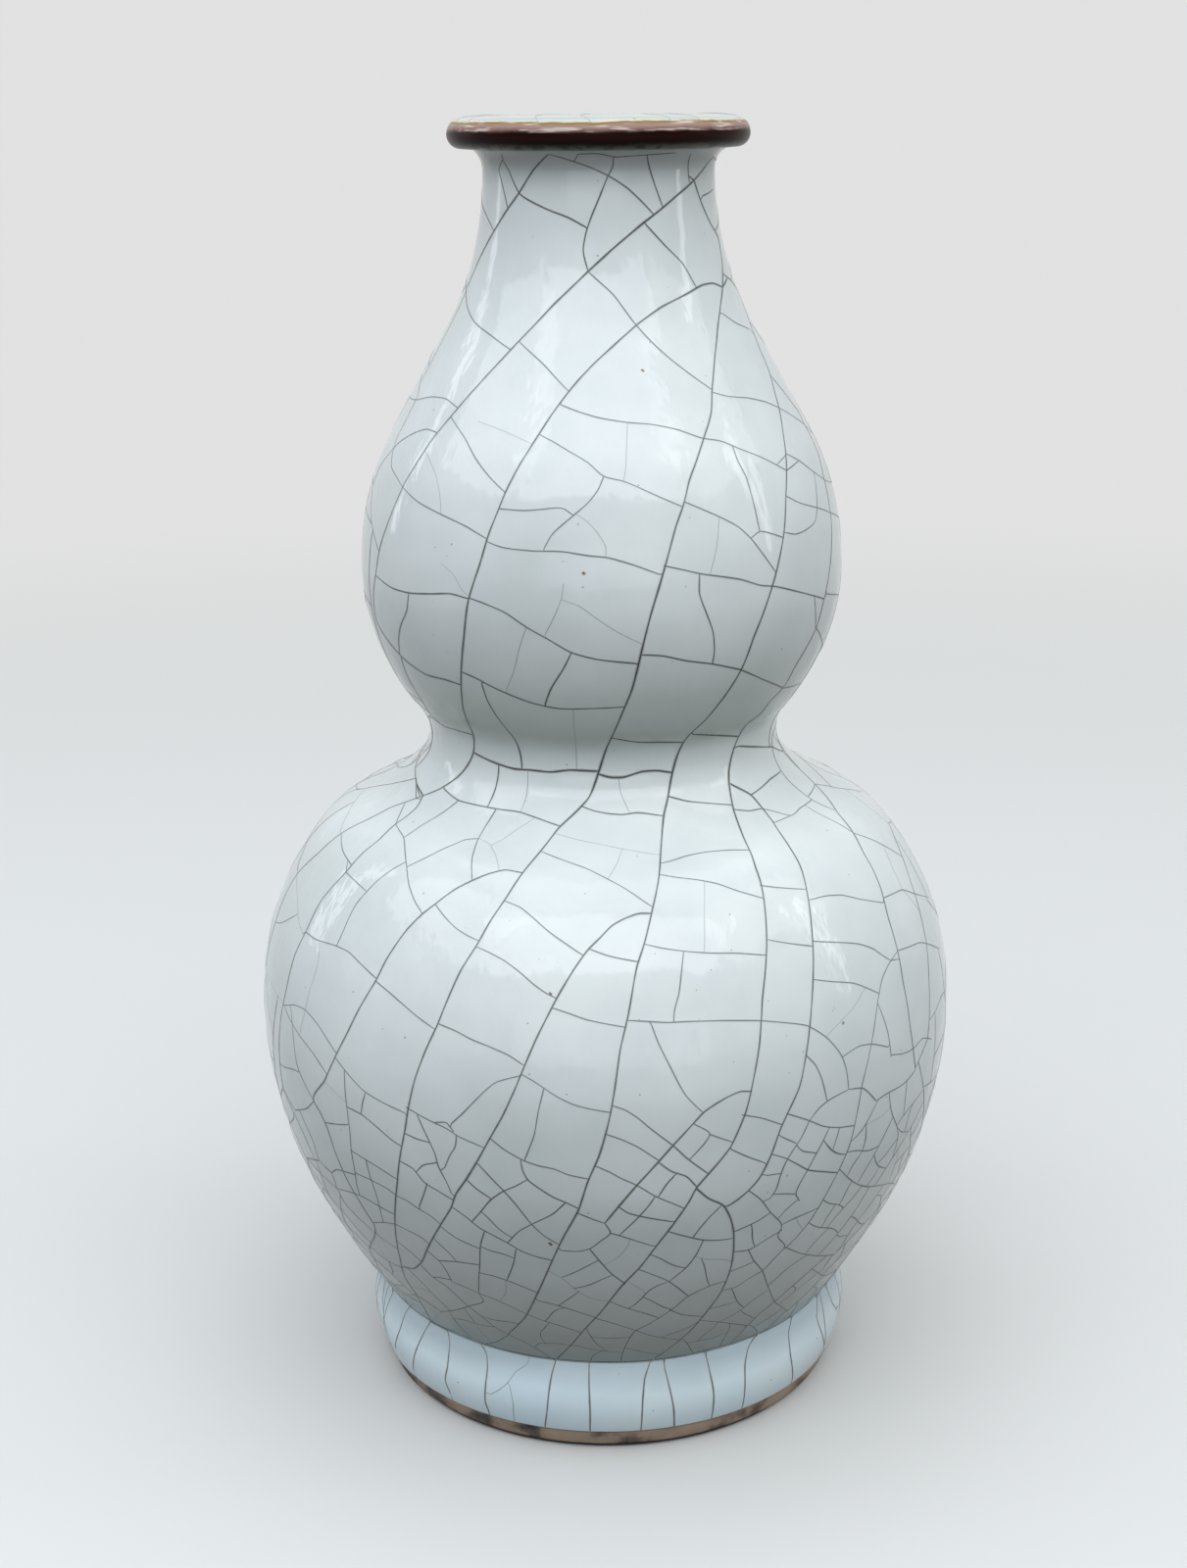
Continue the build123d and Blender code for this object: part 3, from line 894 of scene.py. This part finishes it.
def carried_on(paths, within, beyond):
    """The same paths, with each end drawn on to the nearest other crack within so many mm, if there is one:
    a crack runs until it meets another. Where the traced front ends, the other may be up to beyond mm away,
    and lies ahead of the end. A crack that stops just short of the foot's drip edge runs on to it.
    Distances are taken in space, between the paths' points. A path is turned round to treat its first end.
    """
    every = [path for kind in paths for path in paths[kind]]
    kinds = [kind for kind in paths for _ in paths[kind]]
    angles, lengths = np.concatenate(every, axis=1)
    places = on_body(angles, lengths)
    owner = np.repeat(np.arange(len(every)), [path.shape[1] for path in every])
    tree = KDTree(len(places))
    for index, spot in enumerate(places.tolist()):
        tree.insert(spot, index)
    tree.balance()
    longer = {kind: [] for kind in paths}
    for number, (kind, path) in enumerate(zip(kinds, every)):
        for _ in range(2):
            path = path[:, ::-1]
            end = path[:, -1]
            spot = on_body(*end)
            aside = abs(turn_from(front, end[0])) > traced_side - side_margin
            heading = spot - on_body(*path[:, -4:][:, 0])
            heading /= np.linalg.norm(heading) + 1e-9
            near = [
                (gap, index) for _, index, gap in tree.find_range(spot.tolist(), beyond if aside else within)
                if owner[index] != number
                and (not aside or (places[index] - spot) @ heading >= ahead_share * gap)
            ]
            gap, index = min(near, default=(0, 0))
            if gap > touching:
                meets = end[0] + turn_from(end[0], angles[index]), lengths[index]
                bridge = np.linspace(end, meets, max(1, int(gap)) + 1)[1:].T
                path = np.hstack([path, bridge])
        for _ in range(2):
            path = path[:, ::-1]
            if drip_at < path[1, -1] < drip_reach:
                path = np.hstack([path, [path[:1, -1], [drip_at]]])
        longer[kind].append(path)
    return longer


paths = {"long": traced(long_cracks), "branch": traced(branch_cracks), "hairline": traced(hairline_cracks)}
# One crack runs right round, just above the cove where the foot meets the bowl.
round_foot = np.linspace(0, 2 * np.pi, 360)
above_seat = seat_length + 0.8 + 0.2 * np.sin(5 * round_foot) + 0.15 * np.sin(11 * round_foot + 1)
paths["long"].append(np.array([round_foot, above_seat]))
paths = carried_on(paths, within=3.2, beyond=3.2)

# The rest is grown. A map of the skin, angle across and length up, holds what has cracked. Where a cell is
# too long, it splits across its middle, along its shortest way from wall to wall, as strain would have it.
random = np.random.default_rng(11)
map_columns, map_row = 2048, 0.25
map_rows = math.ceil(skin_length[-1] / map_row) + 1
cracked = np.zeros((map_rows, map_columns), dtype=bool)
half_mark, mark_step = 0.25, 0.15


def map_cell(angle, length):
    """Row and column of the map under a place on the skin."""
    row = np.clip(np.round(np.asarray(length) / map_row).astype(int), 0, map_rows - 1)
    return row, np.floor(np.asarray(angle) / (2 * np.pi) * map_columns).astype(int) % map_columns


def mark(path):
    """Draws a path on the map, reaching half a mark to each side of it."""
    angle, length = path
    radius = on_skin(length)[0].real
    at = summed(np.hypot(np.diff(angle) * radius[1:], np.diff(length)))
    new = np.linspace(0, at[-1], math.ceil(at[-1] / mark_step) + 2)
    angle, length, radius = (np.interp(new, at, value) for value in (angle, length, radius))
    for up_by in (-half_mark, 0.0, half_mark):
        for side in np.linspace(-half_mark, half_mark, 7):
            cracked[map_cell(angle + side / radius, length + up_by)] = True


for kind in paths:
    for path in paths[kind]:
        mark(path)
borders = map_cell(0, np.array([seat_length, skin_length[root_at]]))[0]
cracked[[0, *borders, -1]] = True

cell_heights = (5, 20, 21, 34, 60, 74, 92, 128, 140, 175, 215, 250)
cell_sizes = (13, 13, 6.5, 6.5, 7.5, 12, 17, 15, 15, 21, 18, 13)
dense_angle, dense_reach = math.radians(62), math.radians(38)
dense_from, dense_to, dense_size = 24, 78, 5.4
foot_height = 20
unsplit = 1000.0


def cell_size(angle, length):
    """How long a cell may be in mm, by place: long on both bulbs, short under the large bulb's belly, most
    of all on the right, and never split where the front's traces are complete.
    """
    height = on_skin(length)[0].imag
    aside = turn_from(front, angle)
    size = np.interp(height, cell_heights, cell_sizes)
    dense = (np.abs(aside - dense_angle) < dense_reach) & (height > dense_from) & (height < dense_to)
    size = np.where(dense, np.minimum(size, dense_size), size)
    complete = (np.abs(aside) < traced_side) & ((height > traced_above) | (height < foot_height))
    return np.where(complete, unsplit, size)


# Long cracks on the far side: steep lines that go 80 degrees round the vase on their way up, as in front.
far_starts, shortest_run = np.arange(-60, 215, 23), 22
steep_lean, start_spread, sway_spread = math.radians(80), math.radians(4), math.radians(5)
length = np.arange(seat_length + 0.5, skin_length[root_at] - 0.5, 1.0)
share = length / skin_length[root_at]
for start_angle in np.radians(far_starts):
    sway = random.normal(0, 1, 4) * sway_spread
    angle = start_angle + random.normal(0, start_spread) + steep_lean * share + sum(
        sway[k] * np.sin((k + 1) * 2.6 * share + 2.4 * k) for k in range(4)
    )
    free = (np.abs(turn_from(front, angle)) > traced_side) & ~cracked[map_cell(angle, length)]
    edges = np.flatnonzero(np.diff(free.astype(int), prepend=0, append=0))
    runs = sorted(zip(edges[::2], edges[1::2]), key=lambda run: run[0] - run[1])[:2]
    for first, last in runs:
        if last - first > shortest_run:
            path = np.array([angle[first:last], length[first:last]])
            paths["long"].append(path)
            mark(path)

paths = carried_on(paths, within=3.0, beyond=14.0)
for path in paths["long"]:
    mark(path)

# Each round tries places at random, more of them where cells are short, and splits shorter cells than the
# one before it. Rays go out from a place to the walls in pairs: the longest pair is the cell's length, and
# the new crack follows the shortest one that lies well across it.
levels, tries, spread_size, spread_power = (2.8, 1.9, 1.35, 1.0), 9000, 6.5, 1.2
ways, least_turn = 12, 4
ray_steps = np.arange(1, 190) * 0.4
split_share, middle_share, thin_share, longest_split = 1.4, 0.36, 0.3, 70
overrun, bow_share, bend_share = 0.3, 0.06, 0.02
branch_share, branch_level = 0.8, 1.5
for level in levels:
    angles = random.uniform(0, 2 * np.pi, tries)
    lengths = random.uniform(0, skin_length[root_at], tries)
    sizes = cell_size(angles, lengths)
    spread = on_skin(lengths)[0].real / belly.real * np.minimum(1, (spread_size / sizes) ** spread_power)
    keep = random.uniform(0, 1, tries) < spread
    for angle, length, size in zip(angles[keep], lengths[keep], sizes[keep] * level):
        if size >= unsplit or cracked[map_cell(angle, length)]:
            continue
        radius = on_skin(length)[0].real
        way = np.exp(1j * (random.uniform(0, np.pi / ways) + np.arange(2 * ways) * np.pi / ways))[:, None]
        hit = cracked[map_cell(angle + way.real * ray_steps / radius, length + way.imag * ray_steps)]
        hit[:, -1] = True
        reach = ray_steps[hit.argmax(axis=1)]
        whole = reach[:ways] + reach[ways:]
        long_way = whole.argmax()
        nearer = min(reach[long_way], reach[long_way + ways])
        if whole[long_way] < split_share * size or nearer < middle_share * whole[long_way]:
            continue
        turn = np.abs((np.arange(ways) - long_way + ways // 2) % ways - ways // 2)
        short_way = np.where(turn >= least_turn, whole, np.inf).argmin()
        width = whole[short_way]
        if width < thin_share * size or width > longest_split:
            continue
        ends = reach[short_way] + overrun, -reach[short_way + ways] - overrun
        share = np.linspace(0, 1, max(4, math.ceil(width)))
        away = ends[1] + (ends[0] - ends[1]) * share
        bow = random.normal(0, bow_share) * width * np.sin(np.pi * share)
        bow = bow + random.normal(0, bend_share) * width * np.sin(2 * np.pi * share)
        offset = way[short_way, 0] * (away + 1j * bow)
        path = np.array([angle + offset.real / radius, length + offset.imag])
        branches = random.uniform() < branch_share or level > branch_level
        paths["branch" if branches else "hairline"].append(path)
        mark(path)

# Upright cracks through the glazed band of the foot, where the front's traces end, and across the lip's top.
foot_starts, foot_lean, foot_wave = np.arange(-26, 206, 13.5), math.radians(2.0), math.radians(1.2)
band = skin_length[skin_length <= seat_length]
for angle in np.radians(foot_starts):
    lean = random.normal(0, foot_lean)
    wave = foot_wave * np.sin(np.linspace(0, 4, len(band)) + random.uniform(0, 6))
    paths["branch"].append(np.array([angle + lean * band / seat_length + wave, band]))
lip_starts, lip_spread, lip_wave = np.arange(0, 360, 24), 0.1, 0.05
lip_top = np.arange(skin_length[-1] - 11.0, skin_length[-1] - 0.5, 0.5)
for angle in np.radians(lip_starts) + random.normal(0, lip_spread, len(lip_starts)):
    wave = lip_wave * np.sin(np.linspace(0, 5, len(lip_top)) + random.uniform(0, 6))
    paths["hairline"].append(np.array([angle + wave, lip_top]))

sliver_depth = 0.15
swell_size, swell_rates = 0.12, np.array([0.31, 0.43, 0.37])
ripple_size, ripple_rates = 0.08, np.array([1.1, -0.9, 1.3])
# Shares by height of thick glaze and shade: they broaden the cracks, and lower shares give paler ink, a
# painted sheen where the skin faces up.
thick_and_shaded_heights = (0, 20, 24, 66, 92, 128, 139, 160, 190, 218, 240)
thick_and_shaded_shares = (0.5, 0.5, 0.65, 0.65, 0, 0, 1, 1, 0, 0, 0.7)
thin_breadth, end_breadth, tapered_points = 0.74, 0.7, 6


def ribbons(name, group, breadth, proud, ink, codes):
    """Slivers of stained glaze: along each path, a prism whose flat top stands proud of the skin by a hair.

    Each point's three corners are half the breadth to either side of it, and a depth below it. The breadth
    swells and thins a little and narrows at both ends. Faces join each point to the next. Each of the ink's
    colours is a material. Where the glaze lies thick and in shade, on the undersides of the bulbs and in the
    waist, cracks are broader and take the first colour. Elsewhere they fade by steps to the last, a painted
    sheen: the paler inks stand for light reflected off the glaze over the cracks where the skin faces up.
    """
    angle, length = np.concatenate(group, axis=1)
    which = np.repeat(np.arange(len(group)), [path.shape[1] for path in group])
    new_path = which[1:] != which[:-1]
    first, last = np.append(True, new_path), np.append(new_path, True)
    point, normal = on_skin(length)
    point = thrown(point, angle)
    place, outward = in_space(point, angle), in_space(normal, angle)
    ahead = np.where(last[:, None], 0, np.roll(place, -1, axis=0) - place)
    behind = np.where(first[:, None], 0, place - np.roll(place, 1, axis=0))
    side = np.cross(outward, ahead + behind)
    side /= np.linalg.norm(side, axis=1, keepdims=True) + 1e-12
    number = np.arange(len(angle))
    starts, stops = np.flatnonzero(first), np.flatnonzero(last)
    to_end = np.minimum(number - starts[which], stops[which] - number)
    swell = 1 + swell_size * np.sin(place @ swell_rates + which) + ripple_size * np.sin(place @ ripple_rates)
    thick_and_shaded = np.interp(point.imag, thick_and_shaded_heights, thick_and_shaded_shares)
    taper = np.clip(end_breadth + to_end / tapered_points, 0, 1)
    half = breadth / 2 * (thin_breadth + (1 - thin_breadth) * thick_and_shaded) * swell * taper
    top, aside = place + outward * proud, side * half[:, None]
    corners = np.stack([top + aside, top - aside, place - outward * sliver_depth], axis=1).reshape(-1, 3)
    pattern = np.array([[1, 4, 3, 0], [2, 5, 4, 1], [0, 3, 5, 2]])[None]
    quads = (3 * np.flatnonzero(~last)[:, None, None] + pattern).reshape(-1, 4)
    caps = np.concatenate([3 * starts[:, None] + [2, 1, 0], 3 * stops[:, None] + [0, 1, 2]])
    piece = body(name, corners, quads.tolist() + caps.tolist())
    for shade, code in enumerate(codes):
        piece.data.materials.append(finish(f"{ink}_{shade}", Base_Color=colour(code), Roughness=0.25)[0])
    # Paler steps of ink are painted sheen over the upward faces.
    step = np.round((1 - thick_and_shaded) * (len(codes) - 1)).astype(np.int32)
    steps = np.concatenate([np.repeat(step[~last], 3), step[first], step[last]])
    piece.data.polygons.foreach_set("material_index", steps)
    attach(piece, "root")
    return piece


# Ink in a crack: dark grey in the long ones, lighter in the branches, and next to none in hairlines. Beside
# the line it has crept into the glaze, which softens the line's edge.
ribbons(
    "long_cracks", paths["long"], breadth=0.31, proud=0.036,
    ink="ink_in_long_crack", codes=("#383534", "#454444", "#545555", "#606263"),
)
ribbons(
    "branch_cracks", paths["branch"], breadth=0.26, proud=0.034,
    ink="ink_in_branch_crack", codes=("#484846", "#545453", "#6c6e6f", "#7a7d7e"),
)
ribbons(
    "hairline_cracks", paths["hairline"], breadth=0.17, proud=0.03,
    ink="faint_crack", codes=("#9aa09c", "#adb3b0"),
)
ribbons(
    "long_crack_stains", paths["long"], breadth=0.66, proud=0.024,
    ink="ink_crept_into_glaze", codes=("#a8aeaa", "#b4bab7", "#c0c6c4"),
)
ribbons(
    "branch_crack_stains", paths["branch"], breadth=0.5, proud=0.020,
    ink="ink_crept_faintly", codes=("#b6bdb9", "#c1c8c5", "#cad0ce"),
)
# Iron specks in the glaze: brown grains half a millimetre long, each with a paler ring where it has bled.
speck_marks = "654,377 657,379 / 594,584 597,586 / 560,1013 563,1015 / 560,1268 563,1271"
specks = traced(speck_marks)
ribbons("iron_specks", specks, breadth=0.6, proud=0.03, ink="iron_speck", codes=("#4d4034", "#6f5b44"))
ribbons("iron_speck_rings", specks, breadth=1.3, proud=0.015, ink="bled_iron", codes=("#a7a497", "#c6c3b4"))

# FLOOR, WORLD AND LAMPS
# A plain pale floor that runs into a white ground far off, and soft light as from an overcast sky. Rays that
# light other things meet a darker floor and the sky itself.
floor_half = 3000
floor_corners = [(-floor_half, -floor_half, 0), (floor_half, -floor_half, 0)]
floor_corners += [(floor_half, floor_half, 0), (-floor_half, floor_half, 0)]
floor = body("floor", floor_corners, [(0, 1, 2, 3)])
ground_white = colour("#e1e2e1")
fade_from, fade_to = 250, 1100

floor_paint, tree, shader = finish("matt_floor_paint", Roughness=0.9, Specular_IOR_Level=0.1)
rays = node(tree, "ShaderNodeLightPath").node.outputs
paints = {"data_type": "RGBA", 6: colour("#d6d6d3"), 7: colour("#4c4b49")}
tone = node(tree, "ShaderNodeMix", paints, {0: rays["Is Diffuse Ray"]}, output=2)
tree.links.new(tone, shader.inputs["Base Color"])
place = node(tree, "ShaderNodeTexCoord", output="Object")
distance = node(tree, "ShaderNodeVectorMath", {"operation": "LENGTH"}, {0: place}, output="Value")
fading = {"interpolation_type": "SMOOTHSTEP", "From Min": fade_from * MM, "From Max": fade_to * MM}
far = node(tree, "ShaderNodeMapRange", fading, {"Value": distance})
white = node(tree, "ShaderNodeEmission", {"Color": ground_white})
looks = {0: rays["Is Camera Ray"], 1: rays["Is Glossy Ray"]}
seen = node(tree, "ShaderNodeMath", {"operation": "MAXIMUM"}, looks)
fade = node(tree, "ShaderNodeMath", {"operation": "MULTIPLY"}, {0: far, 1: seen})
blend = node(tree, "ShaderNodeMixShader", links={0: fade, 1: shader.outputs["BSDF"], 2: white})
tree.links.new(blend, tree.nodes["Material Output"].inputs["Surface"])
floor.data.materials.append(floor_paint)

world = bpy.data.worlds.new("overcast_sky")
bpy.context.scene.world = world
world.use_nodes = True
tree = world.node_tree
rays = node(tree, "ShaderNodeLightPath").node.outputs
direction = node(tree, "ShaderNodeTexCoord", output="Generated")
height = node(tree, "ShaderNodeSeparateXYZ", links={0: direction}, output="Z")
sky_shades = ((0.0, "#4a4e52"), (0.3, "#a2aab2"), (1.0, "#f0f5fb"))
sky = node(tree, "ShaderNodeValToRGB", {}, {"Fac": height}, sky_shades)
shown = rays["Is Transmission Ray"]
for look in ("Is Camera Ray", "Is Glossy Ray"):
    shown = node(tree, "ShaderNodeMath", {"operation": "MAXIMUM"}, {0: shown, 1: rays[look]})
seen_sky = node(tree, "ShaderNodeMix", {"data_type": "RGBA", 7: ground_white}, {0: shown, 6: sky}, output=2)
tree.links.new(seen_sky, tree.nodes["Background"].inputs["Color"])


def softbox(name, where, aim, size, watts, shade):
    """A rectangular area lamp of a width and height, at where, facing aim."""
    lamp = bpy.data.lights.new(name, "AREA")
    lamp.shape = "RECTANGLE"
    lamp.size, lamp.size_y = size[0] * MM, size[1] * MM
    lamp.energy = watts
    lamp.color = colour(shade)[:3]
    made = placed(name, lamp)
    x, y, z = np.array(aim, dtype=float) - np.array(where, dtype=float)
    made.rotation_euler = math.atan2(math.hypot(x, y), -z), 0, math.atan2(-x, y)
    made.location = [value * MM for value in where]


softbox("overhead_softbox", (0, 0, 1000), (0, 0, 120), (900, 900), 1.9, "#f6f9ff")
softbox("front_sky_softbox", (0, -760, 960), (0, 0, 130), (1650, 520), 5.9, "#f3f7fd")
softbox("left_sky_softbox", (-760, -250, 900), (0, 0, 130), (850, 560), 2.4, "#f2f6fd")
softbox("right_sky_softbox", (760, -250, 900), (0, 0, 130), (850, 560), 1.9, "#fbfaf6")
# Two tall narrow lights, one at each side, draw a soft upright line down each bulb.
softbox("right_gap_softbox", (1300, -150, 620), (0, 0, 150), (110, 900), 0.9, "#fbfaf6")
softbox("left_gap_softbox", (-1100, 500, 560), (0, 0, 150), (120, 800), 0.65, "#f2f6fd")
softbox("low_front_softbox", (0, -1200, 260), (0, 0, 60), (1300, 400), 1.35, "#f3f7fd")
softbox("back_softbox", (0, 1000, 900), (0, 0, 130), (1700, 900), 1.1, "#f4f7fb")

bpy.context.scene.view_settings.view_transform = "Standard"
